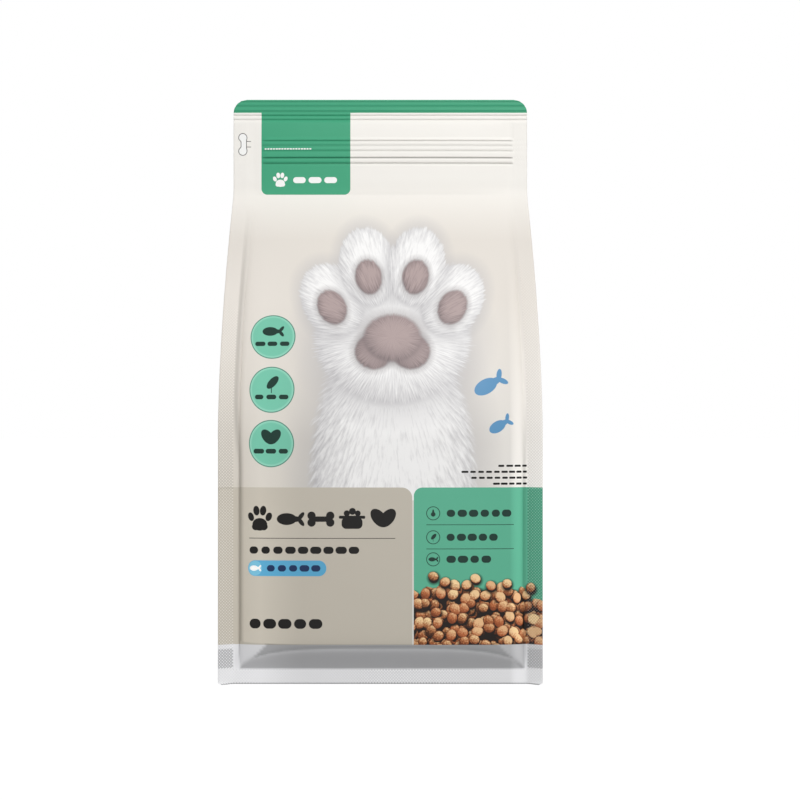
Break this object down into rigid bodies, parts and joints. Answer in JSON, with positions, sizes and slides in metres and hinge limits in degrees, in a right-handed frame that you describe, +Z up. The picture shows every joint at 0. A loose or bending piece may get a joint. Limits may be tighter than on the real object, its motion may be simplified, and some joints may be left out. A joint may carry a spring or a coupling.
{
  "type": "pet food bag",
  "caption": "Tall flat-bottomed pouch of printed film, full and heat-sealed, with knurled corner seals, folded side gussets, a ribbed top seal and a press-to-close strip.",
  "frame": {"origin": "on the floor, in the middle of the bag's foot", "axes": "+Z up from the foot to the top seal, +Y from the printed front to the back, +X to the right as one faces the front"},
  "size_m": [0.215, 0.1216, 0.4],
  "materials": {
    "printed_film": "satin laminate, printed in cream, green and taupe"
  },
  "bodies": {
    "root": {"bag": "printed_film"}
  },
  "joints": []
}
